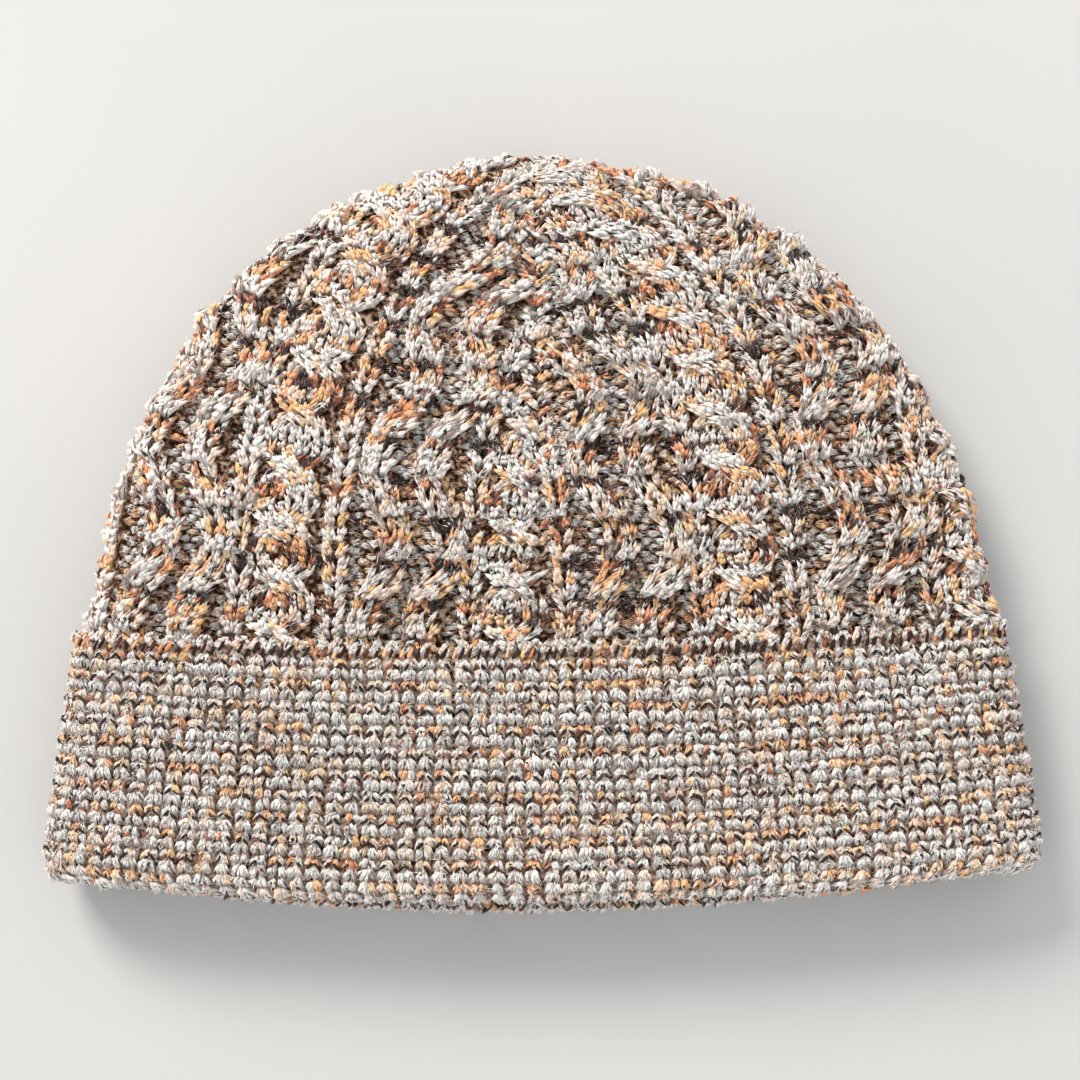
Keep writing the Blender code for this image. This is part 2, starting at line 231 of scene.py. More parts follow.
# Stitches of yarn between a leg and the middle of its stitch, and from one wale of the cuff to the next
CROWN_LEG, DART_LEG, CUFF_LEG = 0.25, 0.4, 0.3
WALE_YARN = 1.2
# The cuff's and the edge's courses are numbered apart from those of the crown
CUFF_COURSE, EDGE_COURSE = 60.0, 200.0
# Metres of yarn in a stitch, and in a lobe
STITCH_YARN, LOBE_YARN = 0.0038, 0.0045

# A lobe is thickest where its share of the way, raised to the first power, is a half. The lower the second
# power, the rounder its ends
BLUNTNESS = 0.90
ROUND_ENDS = 0.75
# Lobes are shifted and bent by chance, in quarter turns, rounds and metres, and differ in size
LOBE_SHIFT = (0.0015, 0.07, 0.00016)
LOBE_BEND = (0.0013, 0.07, 0.00014)
SIZE_SPREAD = 0.13
# Sides and levels in the mesh of a lobe in full view, of a thin or hidden one, and of a strand or a hair
FULL_MESH, PLAIN_MESH, FIBRE_MESH = (5, 3), (4, 3), (3, 2)

StrandPoint = namedtuple("StrandPoint", "across second_tier stray height dome rise")
# Foot, middle and tip of a strand: place across the lobe and height, as shares of its half width and depth,
# and the share of what is left to chance
STRAND = (StrandPoint(0.35, 0.25, 0.0, -0.10, 0.00, 0.0), StrandPoint(0.85, 0.0, 0.4, 0.35, 0.45, 1.0),
          StrandPoint(1.20, 0.0, 1.0, 0.35, 0.35, 2.0))
# Where the second tier starts on the lobe, and where strands start about that
SECOND_TIER = 0.42
STRAND_START = (-0.04, 0.14)
# Share of the lobe that a strand covers, in two tiers and in one, and how that varies
SHORT_STRAND, LONG_STRAND = 0.60, 0.88
STRAND_LENGTH = (0.8, 1.2)
# How far strands overlap, how their thickness varies, how far they lie off their even places, as a share of
# half the lobe, and how far they stray and rise, in metres
STRAND_FULLNESS = 1.75
STRAND_THICKNESS = (0.70, 1.30)
SEAT_SPREAD = 0.2
STRAND_STRAY = 0.00022
STRAND_RISE = 0.00018
# Stitches of yarn from one strand to the next, so that their flecks differ
STRAND_YARN = 0.37

# Hairs: the spread of their directions, in radians, their length, and their bow as a share of it
CROWN_HAIRS, CUFF_HAIRS = 31000, 19500
HAIR_TURN = 0.65
HAIR_LENGTH = (0.0012, 0.0042)
HAIR_BOW = 0.12
# Share of a lobe's half depth at which hairs lie, how deep they root, how the heights of their middles and
# tips vary, and half their thickness
HAIR_SEAT = 0.8
HAIR_ROOT = 0.0003
HAIR_MIDDLE, HAIR_TIP = 0.00028, 0.0004
HAIR_THICKNESS = (0.00008, 0.00016)
# Share of the hairs that stand up, how far their tips stand off, and the middles' share of that
STANDING_SHARE = 0.16
STANDING = (0.0004, 0.0014)
STANDING_MIDDLE = 0.4

Mix = namedtuple("Mix", "spread dark_below pale_above dark_tones")
# Spread of the tones of fibres, and the chances below which one is dark and above which one is pale
STRAND_MIX = Mix(spread=0.06, dark_below=0.07, pale_above=0.90, dark_tones=(-0.1, 0.13))
HAIR_MIX = Mix(spread=0.10, dark_below=0.16, pale_above=0.66, dark_tones=(-0.1, 0.12))
PALE_TONES = (0.5, 0.9)

# Quarter turns from the middle of the front that count as the front
FRONT_REACH = 1.08
# Above this round the crown's back is made as finely as its front, because it shows over the top
LAST_PLAIN_ROUND = 36.0
# Stitches grow where rounds stand wider apart than this, up to so many times
WIDE_ROUND = 0.0044
MOST_STRETCH = 1.7
# Rounds of the cuff where its outside begins, where its dark plies, partly painted shade, do, and where the
# strands of its back end
OUTSIDE_ROUND, DARK_PLY_SHADE_ROUND, BACK_STRAND_ROUND = -0.8, 1.8, 2.2

# Shells under the stitches: corners round each, and how far it lies under the knitted face
CROWN_COLUMNS, CROWN_UNDER = 256, 0.0009
CUFF_COLUMNS, CUFF_UNDER = 232, 0.0006
# Rounds of the crown's plain inside, counted from the top, the last one of its outside, and the shell's share
# of the pattern's height
INNER_ROUNDS = (0.0, 1.5, 4.0, 8.0, 12.0, 18.0, 24.0, 32.0, 38.0, 44.0)
LAST_SHELL_ROUND = CROWN_ROUNDS - 0.4
SHELL_RELIEF = 0.9


def ease(share):
    """A smooth step from 0 to 1."""
    share = np.clip(share, 0.0, 1.0)
    return share * share * (3.0 - 2.0 * share)


def blend(start, end, share):
    """A value on the way from one to another."""
    return start + (end - start) * share


def running(steps):
    """Running total of steps, from 0."""
    return np.concatenate(([0.0], np.cumsum(steps)))


def points_at(places, run, points):
    """Points at these places on a line through points, by the way run to each of those."""
    return np.stack([np.interp(places, run, points[:, axis]) for axis in range(3)], axis=1)


def unit(vectors):
    """The same directions, each with a length of 1."""
    return vectors / np.maximum(np.linalg.norm(vectors, axis=-1, keepdims=True), SHORTEST)


def joined(groups):
    """Several tables of lobes as one."""
    return Lobes(*(np.concatenate(values) for values in zip(*groups)))


def part_of(lobes, which):
    """The lobes of a table that a mask picks."""
    return Lobes(*(values[which] for values in lobes))


def scaled(lobes, size):
    """The same lobes, thicker or thinner."""
    return lobes._replace(half_width=lobes.half_width * size, half_depth=lobes.half_depth * size)


# Form


def band_half_width(share):
    """Half the width over the layer below the cuff's outer one, a share of the way up the cuff."""
    flare = 1.0 - max(share, 0.0) ** FLARE_POWER
    return blend(CUFF_TOP_WIDTH, CUFF_EDGE_WIDTH, flare) / 2.0 - LAYER


def cuff_course(height, inset):
    """A course of the band, at a height over its lower edge, inset from the inner layer's outer face."""
    share = height / CUFF_HEIGHT
    return Course(
        front_y=BACK_DROP + height,
        back_y=blend(0.0, CUFF_TOP_Y, share),
        side_x=band_half_width(share) - inset,
        side_y=blend(EDGE_BOW, CUFF_TOP_Y + CUFF_TOP_BOW, share),
        bend=BOW_BEND,
        under=LAYER + inset,
        over=CUFF_THICKNESS - LAYER - inset,
        squareness=CUFF_SQUARENESS,
        fold_depth=SIDE_FOLD_DEPTH - inset,
    )


def outline_point(share, inset):
    """A point on the side of the crown, a share of the way from the cuff's top edge to the crown's top."""
    width = band_half_width(1.0) - inset
    foot = CUFF_TOP_Y + CUFF_TOP_BOW
    turn = np.linspace(0.0, math.pi / 2.0, ARC_POINTS)
    x = width * np.cos(turn) ** (2.0 / CROWN_ROUNDNESS)
    y = foot + (CAP_HEIGHT - CROWN_TIP - inset - foot) * np.sin(turn) ** (2.0 / CROWN_ROUNDNESS)
    y += CROWN_TIP * ease(1.0 - x / TIP_WIDTH)
    run = running(np.hypot(np.diff(x), np.diff(y)))
    drawn = CROWN_DRAW / width * ease(share / DRAW_SHARE)
    return np.interp(share * run[-1], run, x) * (1.0 - drawn), np.interp(share * run[-1], run, y)


def crown_course(share, inset):
    """A course of the crown, from the cuff's top edge, 0, to the crown's top, 1."""
    if share < 0.0:
        return cuff_course(CUFF_HEIGHT + share * (CAP_HEIGHT - CUFF_TOP_Y), inset)
    up_middle = share + ROUND_DRIFT * share * (1.0 - share)
    up_side = share - ROUND_DRIFT * share * (1.0 - share)
    rise = CAP_HEIGHT - inset - CUFF_TOP_Y
    side_x, side_y = outline_point(up_side, inset)
    puffed = ease(share / PUFF_SHARE)
    settled = ease(share / SETTLE_SHARE)
    front = blend(CUFF_THICKNESS - LAYER, CROWN_THICKNESS, puffed) - inset
    rest = blend(LAYER, 0.0, settled) + inset
    front_closing = (1.0 - min(up_middle, 1.0) ** CROWN_SQUARENESS) ** (1.0 / CROWN_SQUARENESS)
    left_over = rise * (1.0 - up_middle) / (SIDE_FOLD_DEPTH - inset)
    back_closing = math.sqrt(max(1.0 - max(1.0 - left_over, 0.0) ** 2, 0.0))
    middle_y = CUFF_TOP_Y + rise * up_middle
    return Course(
        front_y=middle_y,
        back_y=middle_y,
        side_x=side_x,
        side_y=side_y,
        bend=blend(BOW_BEND, STRAIGHT_BEND, ease(share)),
        under=blend(SIDE_FOLD_HEIGHT, rest, back_closing),
        over=blend(SIDE_FOLD_HEIGHT, front, front_closing),
        squareness=blend(CUFF_SQUARENESS, CROWN_SQUARENESS, puffed),
        fold_depth=SIDE_FOLD_DEPTH - inset,
    )


def dent_depth(x, y):
    """How deep the front is dented at a place on the cap."""
    depth = np.zeros_like(x)
    for dent in DENTS:
        away = np.hypot(x - dent.across * CUFF_TOP_WIDTH / 2.0, y - dent.up * CAP_HEIGHT)
        depth += dent.depth * CROWN_THICKNESS * np.exp(-((away / (dent.reach * CAP_HEIGHT)) ** 2))
    return depth


def quarter(course, front):
    """Even points on a quarter of a course, from the middle of its front or back, and its length."""
    turn = np.linspace(0.0, math.pi / 2.0, ARC_POINTS)
    if front:
        power = 2.0 / course.squareness
        out = np.sin(turn) ** power
        lift = np.cos(turn) ** power
        top = course.over - SIDE_FOLD_HEIGHT
        height = SIDE_FOLD_HEIGHT + top * lift
        middle_y = course.front_y
    else:
        flat = max(1.0 - course.fold_depth / max(course.side_x, TINY), 0.0)
        out = np.concatenate((np.linspace(0.0, flat, ARC_POINTS // 2, endpoint=False),
                              blend(flat, 1.0, np.sin(turn))))
        curl = np.concatenate((np.zeros(ARC_POINTS // 2), 1.0 - np.cos(turn)))
        height = course.under + (SIDE_FOLD_HEIGHT - course.under) * curl
        middle_y = course.back_y
    x = course.side_x * out
    y = middle_y + (course.side_y - middle_y) * out ** course.bend
    if front:
        height = height - lift * dent_depth(x, y) * min(top / CROWN_WALL, 1.0)
    points = np.stack((x, y - CAP_HEIGHT / 2.0, height), axis=1)
    run = running(np.linalg.norm(np.diff(points, axis=0), axis=1))
    return points_at(np.linspace(0.0, run[-1], QUARTER_POINTS + 1), run, points), run[-1]


def loop(course):
    """A whole course: front right, back right, back left and front left, each without its last point."""
    front = quarter(course, True)[0]
    back = quarter(course, False)[0]
    mirror = np.array((-1.0, 1.0, 1.0))
    return np.concatenate((front[:-1], back[:0:-1], back[:-1] * mirror, front[:0:-1] * mirror))


def tube(courses, first, step):
    """A knitted tube from its courses, with the direction that faces out at each point."""
    points = np.array([loop(course) for course in courses])
    up = np.gradient(points, axis=0)
    around = np.roll(points, -1, axis=1) - np.roll(points, 1, axis=1)
    normals = np.cross(around, up)
    length = np.linalg.norm(normals, axis=2, keepdims=True)
    normals = np.where(length > FLATTEST, normals / np.maximum(length, FLATTEST), (0.0, 0.0, 1.0))
    return Tube(points, normals, first, step)


def on_tube(knit, around, row):
    """Points and outward directions of a tube at quarter turns round it and rows up it."""
    rows, columns = knit.points.shape[:2]
    level = np.clip((row - knit.first) / knit.step, 0.0, rows - TABLE_END)
    turn = np.mod(around * QUARTER_POINTS, columns)
    low, left = np.floor(level).astype(int), np.floor(turn).astype(int) % columns
    up, side = (level - low)[..., None], (turn - np.floor(turn))[..., None]
    right = (left + 1) % columns
    found = []
    for grid in (knit.points, knit.normals):
        bottom = grid[low, left] * (1.0 - side) + grid[low, right] * side
        top = grid[low + 1, left] * (1.0 - side) + grid[low + 1, right] * side
        found.append(bottom * (1.0 - up) + top * up)
    return found[0], unit(found[1])


def crown_tube():
    """The crown's outer face as a tube in rounds."""
    step = 0.5
    rows = np.arange(CROWN_START, CROWN_ROUNDS + step / 2.0, step)
    return tube([crown_course(min(row / CROWN_ROUNDS, 1.0), 0.0) for row in rows], CROWN_START, step)


def band_profile(run):
    """Height and inset of the band's visible face, by the way run from the lower fold, up inside below 0."""
    turn = run / FOLD_RADIUS
    if turn > math.pi / 2.0:
        return FOLD_RADIUS + run - FOLD_RADIUS * math.pi / 2.0, -LAYER
    if turn < -math.pi / 2.0:
        return FOLD_RADIUS - run - FOLD_RADIUS * math.pi / 2.0, CUFF_WALL
    return FOLD_RADIUS - FOLD_RADIUS * math.cos(turn), -LAYER_GAP / 2.0 - FOLD_RADIUS * math.sin(turn)


def cuff_tube():
    """The band's visible face as a tube in rounds, and the round of its top edge."""
    last = (CUFF_HEIGHT + (math.pi / 2.0 - 1.0) * FOLD_RADIUS) / CUFF_ROUND
    step = 0.25
    rows = np.arange(CUFF_START, last + EDGE_RISE + 2.0 * step, step)
    return tube([cuff_course(*band_profile(row * CUFF_ROUND)) for row in rows], CUFF_START, step), last


# Crown knitting


@cache
def narrowing_table():
    """Quarters of a round up the crown, and how much narrower it is in each than at the cuff, from 1 up."""
    rows = np.linspace(0.0, CROWN_ROUNDS, 2 * CROWN_ROUNDS + 1)
    lengths = np.array([quarter(crown_course(row / CROWN_ROUNDS, 0.0), True)[1] for row in rows])
    full = np.interp(DRAW_SHARE * CROWN_ROUNDS, rows, lengths)
    rounds = np.linspace(CROWN_START, CROWN_ROUNDS, int(4 * (CROWN_ROUNDS - CROWN_START)) + 1)
    left = np.interp(np.maximum(rounds, 0.0), rows, lengths)
    return rounds, np.maximum(full / np.maximum(left, TINY), 1.0)


def narrow(row):
    """How much narrower the crown is in a round than at the cuff."""
    return np.interp(row, *narrowing_table())


def sway(row):
    """Stitches that a winding rib stands to the right in a round."""
    return SWAY * np.sin(2.0 * math.pi * (row - SWAY_FIRST) / SWAY_ROUNDS)


def motif_height(stitch, row):
    """Height of the crown's pattern over its ground, smooth, at a stitch of the repeat."""
    swing = sway(row)
    height = np.zeros_like(stitch + row)
    for motif in MOTIFS:
        away = np.abs(stitch - motif.middle - motif.sways * swing) / (motif.width / 2.0 + MOTIF_SLOPE)
        height = np.maximum(height, motif.rise * np.clip(1.0 - away ** MOTIF_CURVE, 0.0, 1.0))
    return PATTERN_RISE * height


def from_dart(around, number, narrowing):
    """Stitches from a place in a quarter of the crown to the nearer of the darts that bound it."""
    within = around - number
    return np.minimum(within, 1.0 - within) * QUARTER_STITCHES / narrowing


def dart_fade(stitches_away, row):
    """How much of the pattern is left near a dart, and how far its ground is drawn in."""
    drawn = ease((row / CROWN_ROUNDS - DART_START) / (DART_FULL - DART_START))
    near = 1.0 - ease(stitches_away / FADE_STITCHES)
    return 1.0 - drawn * near, DART_DEPTH * drawn * near


def spread(position):
    """Where a stitch position comes to lie, in even stitches, once the purl wales have drawn in."""
    repeat, stitch = np.divmod(position + PATTERN_START, REPEAT)
    place = np.interp(stitch, np.arange(REPEAT + 1), STITCH_STARTS)
    return repeat * REPEAT + place - STITCH_STARTS[PATTERN_START] + PATTERN_SHIFT


def unspread(place):
    """Stitch of the repeat at a place in even stitches."""
    within = np.mod(place + STITCH_STARTS[PATTERN_START] - PATTERN_SHIFT, REPEAT)
    return np.interp(within, STITCH_STARTS, np.arange(REPEAT + 1))


def place_round(position, number, narrowing):
    """Quarter turns round the crown of a stitch position, in the quarter it belongs to."""
    within = (spread(position) - number * QUARTER_STITCHES) / QUARTER_STITCHES
    return number + 0.5 + (within - 0.5) * narrowing


def nearest_crossing(row):
    """The round in the middle of the crossing of the ropes that is nearest to a round."""
    return CROSSING_FIRST + CROSSING_ROUNDS * np.round((row - CROSSING_FIRST) / CROSSING_ROUNDS)


def rope_wale(slot, row, crossing):
    """Sideways place of a wale of the rope, from the rope's first edge, and its lift over the others."""
    share = (row - crossing) / CROSSING_LENGTH + 0.5
    over = slot >= STRAND_WALES
    moved = np.where(over, -STRAND_WALES, STRAND_WALES) * ease(share)
    lift = np.sin(math.pi * np.clip(share, 0.0, 1.0)) * np.where(over, CROSSING_LIFT, CROSSING_DIP)
    return slot + 0.5 + moved, lift


def dyed_lengths(yarn, dye, seed):
    """A share from 0 to 1 for each lobe that runs on for a few stitches along the yarn, as its dye does."""
    chance = np.random.default_rng(seed)
    course = np.round(yarn[:, 1] - yarn[:, 1].min()).astype(int)
    place = (yarn[:, 0] - yarn[:, 0].min()) / dye.stitches
    cell = place.astype(int)
    ends = chance.random((course.max() + 1, cell.max() + 2))
    value = blend(ends[course, cell], ends[course, cell + 1], ease(place - cell))
    value += dye.speckle * chance.random(len(place))
    share = np.empty(len(place))
    share[np.argsort(value)] = np.linspace(0.0, 1.0, len(place))
    return share


def laid(form, points, yarn, tone, size=1.0):
    """Lobes of one form through three points each, given as places round the tube, rounds and heights."""
    count = len(yarn)
    path = [np.stack([np.broadcast_to(values, count) for values in point], axis=1) for point in points]
    return Lobes(np.stack(path, axis=1), np.full(count, form.half_width * size),
                 np.full(count, form.half_depth * size), yarn, tone)


def leg(form, side, lean=0.0, rise=0.0, rising=(0.0, 0.0, 0.0)):
    """The form of the leg on one side of its wale, leaning to the right and rising over its foot."""
    points = [(side * across + lean * way, up, height + rise * share)
              for (across, up, height), way, share in zip(form.points, (-1.0, 0.0, 1.0), rising)]
    return form._replace(points=points)


def crown_lobes():
    """The lobes of the crown: of its ribs and ropes, and of the purl ground between them."""
    rounds, stitches = np.arange(float(CROWN_ROUNDS)), np.arange(CROWN_STITCHES)
    row, column = (grid.ravel() for grid in np.meshgrid(rounds, stitches))
    stitch = (column + PATTERN_START) % REPEAT
    kind = np.array(list(CHART))[stitch]
    crossing = nearest_crossing(row)
    ribs, ground = [], []

    def wale(which, at_row):
        """Place of wales in stitches and their lift, following the sway and the crossings of the ropes."""
        cell = stitch[which]
        swayed = cell + 0.5 + np.interp(cell + 0.5, SWAY_AT, SWAY_SHARE) * sway(at_row)
        crossed, lift = rope_wale(cell, at_row, crossing[which])
        in_rope = kind[which] == "R"
        return (column - stitch)[which] + np.where(in_rope, crossed, swayed), np.where(in_rope, lift, 0.0)

    def add(group, which, form, yarn, tones, size=1.0):
        """A lobe of a form at each of the stitches that a mask picks."""
        path = []
        for across, up, height in form.points:
            at_row = row[which] + up
            place, lift = wale(which, at_row)
            path.append((place + across, at_row, height + lift))
        yarns = np.stack((column[which] + yarn, row[which]), axis=1)
        lobes = laid(form, path, yarns, np.tile(tones, (len(yarns), 1)), size)
        group.append((lobes, column[which] // QUARTER_STITCHES))

    on_top = (kind == "R") & (stitch >= STRAND_WALES) & (np.abs(row - crossing) < CROSSING_LENGTH / 2.0)
    bead_number = np.mod(np.round(row - BEAD_FIRST), len(BEADS))
    for side in (-1.0, 1.0):
        yarn = side * CROWN_LEG
        add(ribs, on_top, leg(ROPE_TOP, side), yarn, ROPE_TOP.tones)
        add(ribs, (kind == "R") & ~on_top, leg(ROPE, side), yarn, ROPE.tones)
        for number, bead in enumerate(BEADS):
            here = bead_number == number
            # A right leg's tones are darkened as painted shade
            painted_shade_tones = [tone - shade * side for tone, shade in zip(bead.tones, RIGHT_LEG_PAINTED_SHADE)]
            winding = leg(WINDING_RIB, side, bead.lean, bead.rise, WINDING_RISE)
            single = leg(SINGLE_RIB, side, 0.0, bead.rise, SINGLE_RISE)
            add(ribs, (kind == "W") & here, winding, yarn, painted_shade_tones, bead.size)
            add(ribs, (kind == "k") & here, single, yarn, bead.tones, bead.size)
            # Once for each side, so two plies lie close together in each of them
            add(ground, (kind == "p") & here, PURL_BUMP, 0.0, bead.tones)
            add(ground, (kind == "p") & here, PURL_DIP, 0.5, bead.tones)

    made = []
    for group in (ribs, ground):
        added, numbers = zip(*group)
        lobes, number = joined(added), np.concatenate(numbers)[:, None]
        position, at_row, height = np.moveaxis(lobes.path, 2, 0)
        narrowing = narrow(at_row)
        around = place_round(position, number, narrowing)
        away = from_dart(around, number, narrowing)
        kept, drawn_in = dart_fade(away, at_row)
        stitch_there = np.mod(position + PATTERN_START, REPEAT)
        height = height + motif_height(stitch_there, at_row) * kept - drawn_in
        below_darts = narrowing[:, 1] <= 1.0
        shown = (away[:, 1] > CATCH_STITCHES) | (below_darts & (away[:, 1] > -OVERLAP_STITCHES))
        tone = blend(*lobes.tone.T, dyed_lengths(lobes.yarn, CROWN_DYE, len(number)))
        lobes = lobes._replace(path=np.stack((around, at_row, height), axis=2), tone=tone)
        made.append(part_of(lobes, shown))
    return made


def dart_lobes():
    """Slanting stitches to both sides of each dart, where two stitches were knitted together."""
    rows = np.arange(math.ceil(DART_START * CROWN_ROUNDS) + 1.0, CROWN_ROUNDS - 1.0)
    places = np.meshgrid(np.arange(QUARTERS), (-1.0, 1.0), rows, indexing="ij")
    dart, side, row = (grid.ravel() for grid in places)
    points = [(dart + side * across / QUARTER_STITCHES * narrow(row + up), row + up, height)
              for across, up, height in DART.points]
    yarn = np.stack((dart * QUARTER_STITCHES + side * DART_LEG, row), axis=1)
    return laid(DART, points, yarn, dyed_lengths(yarn, CROWN_DYE, len(yarn)))


# Cuff knitting


def band_lobes(form, side, wale, middle, yarn, seed):
    """Lobes of one form on the band, on one side of these wales and with their middles at these rounds."""
    points = [((wale + 0.5 + side * across) * QUARTERS / CUFF_WALES, middle + up, height)
              for across, up, height in form.points]
    return laid(form, points, yarn, blend(*form.tones, dyed_lengths(yarn, CUFF_DYE, seed)))


def cuff_lobes(last):
    """The lobes of the cuff's stitches and their dark plies, partly painted shade, up to the edge."""
    made = []
    for first, form in CUFF_FORMS:
        rows = np.arange(first, last - EDGE_ROUNDS, 2)
        row, wale = (grid.ravel() for grid in np.meshgrid(rows, np.arange(CUFF_WALES)))
        for side in (-1.0, 1.0):
            yarn = np.stack((wale * WALE_YARN + side * CUFF_LEG, row + CUFF_COURSE), axis=1)
            made.append(band_lobes(form, side, wale, row + 0.5, yarn, len(made) + 1))
    return joined(made)


def edge_lobes(last):
    """Chain of small hooked loops that binds off the cuff's top edge, and the dark plies inside them, partly
    painted shade.
    """
    wale = np.arange(float(CUFF_WALES))
    middle = last + EDGE_RISE
    yarn = np.stack((wale * WALE_YARN, np.full(len(wale), EDGE_COURSE)), axis=1)
    made = [band_lobes(form, 1.0, wale, middle, yarn, seed) for seed, form in enumerate(EDGE_FORMS)]
    return joined(made[:2]), joined(made[2:])


# Strands and hairs


def unit_lengths(knit, places):
    """Metres in a quarter of a turn round a tube and in a round up it, at places on it, never quite none."""
    turn, rise, least = 0.02, 0.1, 0.0005
    around, row = places[:, 0], places[:, 1]
    across = on_tube(knit, around + turn, row)[0] - on_tube(knit, around - turn, row)[0]
    up = on_tube(knit, around, row + rise)[0] - on_tube(knit, around, row - rise)[0]
    lengths = np.linalg.norm(across, axis=-1) / (2.0 * turn), np.linalg.norm(up, axis=-1) / (2.0 * rise)
    return np.stack(lengths, axis=-1) + least


def on_path(path, at):
    """Places on the middle lines of lobes, a row of shares of the way along each, or one row for all."""
    start, middle, end = (path[:, i, None] for i in range(3))
    at = at[..., None]
    left = 1.0 - at
    return start * left * (1.0 - 2.0 * at) + middle * 4.0 * at * left + end * at * (2.0 * at - 1.0)


def with_odd_fibres(chance, tone, odd, mix):
    """Tones of fibres, some of which are swapped for those of dark or of pale ones."""
    tone = np.where(odd < mix.dark_below, chance.uniform(*mix.dark_tones, len(tone)), tone)
    return np.where(odd > mix.pale_above, chance.uniform(*PALE_TONES, len(tone)), tone)


def combed(knit, lobes, tiers, abreast, seed):
    """Tapering strands of fibre, side by side over each lobe, that part at its tip as on a feather."""
    chance = np.random.default_rng(seed)
    count = len(lobes.path)
    metres = unit_lengths(knit, lobes.path[:, 1])
    way = (lobes.path[:, 2] - lobes.path[:, 0])[:, :2] * metres
    side = np.stack((way[:, 1], -way[:, 0]), axis=1)
    side = side / (np.linalg.norm(way, axis=1, keepdims=True) + TINY) / metres
    made = []
    for number in range(tiers * abreast):
        tier, seat = divmod(number, abreast)
        place = 2.0 * (seat + 0.5) / abreast - 1.0 + chance.normal(0.0, SEAT_SPREAD, count)
        first = SECOND_TIER * tier + chance.uniform(*STRAND_START, count)
        length = SHORT_STRAND if tiers == 2 else LONG_STRAND
        last = first + length * chance.uniform(*STRAND_LENGTH, count)
        stray = chance.normal(0.0, STRAND_STRAY, count)
        rise = np.abs(chance.normal(0.0, STRAND_RISE, (count, 2)))
        dome = np.sqrt(np.maximum(1.0 - place ** 2, 0.0))
        points = []
        places = (first, (first + last) / 2.0, last)
        for at, form, risen in zip(places, STRAND, (0.0, rise[:, 0], rise[:, 1])):
            point = on_path(lobes.path, at[:, None])[:, 0]
            wide = (form.across + form.second_tier * tier) * place * lobes.half_width + stray * form.stray
            point[:, :2] += side * wide[:, None]
            point[:, 2] += (form.height + form.dome * dome) * lobes.half_depth + form.rise * risen
            points.append(point)
        thick = lobes.half_width * STRAND_FULLNESS / abreast * chance.uniform(*STRAND_THICKNESS, count)
        tone = lobes.tone + chance.normal(0.0, STRAND_MIX.spread, count)
        tone = with_odd_fibres(chance, tone, chance.random(count), STRAND_MIX)
        made.append(Lobes(np.stack(points, axis=1), thick, thick, lobes.yarn + number * STRAND_YARN, tone))
    return joined(made)


def loose_hairs(knit, lobes, count, seed):
    """Fine hairs that lie over the stitches, roughly along them, and stand off them."""
    chance = np.random.default_rng(seed)
    pick = chance.integers(0, len(lobes.path), count)
    path = lobes.path[pick]
    foot = on_path(path, chance.uniform(0.0, 1.0, count)[:, None])[:, 0]
    metres = unit_lengths(knit, foot)
    way = (path[:, 2] - path[:, 0])[:, :2] * metres
    angle = np.arctan2(way[:, 1], way[:, 0]) + chance.normal(0.0, HAIR_TURN, count)
    length = chance.uniform(*HAIR_LENGTH, count)
    step = np.stack((np.cos(angle), np.sin(angle)), axis=1) * length[:, None] / metres
    bow = (length * chance.normal(0.0, HAIR_BOW, count))[:, None]
    bow = np.stack((-np.sin(angle), np.cos(angle)), axis=1) * bow
    high = foot[:, 2] + lobes.half_depth[pick] * HAIR_SEAT
    low = foot[:, :2] - step * 0.5
    stand = np.where(chance.random(count) < STANDING_SHARE, chance.uniform(*STANDING, count), 0.0)
    middle_high = high + np.abs(chance.normal(0.0, HAIR_MIDDLE, count)) + STANDING_MIDDLE * stand
    tip_high = high + chance.normal(0.0, HAIR_TIP, count) + stand
    points = (np.column_stack((low, high - HAIR_ROOT)),
              np.column_stack((foot[:, :2] + bow / metres, middle_high)),
              np.column_stack((low + step, tip_high)))
    odd = chance.random(count)
    tone = lobes.tone[pick] + chance.normal(0.0, HAIR_MIX.spread, count)
    tone = with_odd_fibres(chance, tone, odd, HAIR_MIX)
    thick = chance.uniform(*HAIR_THICKNESS, count)
    return Lobes(np.stack(points, axis=1), thick, thick, lobes.yarn[pick], tone)


# Meshes


def lobe_shape(sides, levels):
    """A ball whose levels become the cross-sections of a lobe: corners as level and turn, and its faces."""
    ball = bmesh.new()
    bmesh.ops.create_uvsphere(ball, u_segments=sides, v_segments=levels, radius=1.0)
    corners = np.array([corner.co[:] for corner in ball.verts])
    faces = [[corner.index for corner in face.verts] for face in ball.faces]
    ball.free()
    level = np.arccos(np.clip(-corners[:, 2], -1.0, 1.0)) / math.pi
    turn = np.mod(np.arctan2(corners[:, 1], corners[:, 0]) / (2.0 * math.pi), 1.0)
    return level, turn, faces


def unevened(lobes, seed):
    """The same lobes, each a little off its place and size, as in hand knitting."""
    chance = np.random.default_rng(seed)
    count = len(lobes.path)
    shift = chance.normal(0.0, 1.0, (count, 1, 3)) * LOBE_SHIFT
    bend = chance.normal(0.0, 1.0, (count, 3, 3)) * LOBE_BEND
    size = 1.0 + SIZE_SPREAD * chance.normal(0.0, 1.0, count)
    return scaled(lobes._replace(path=lobes.path + shift + bend), size)


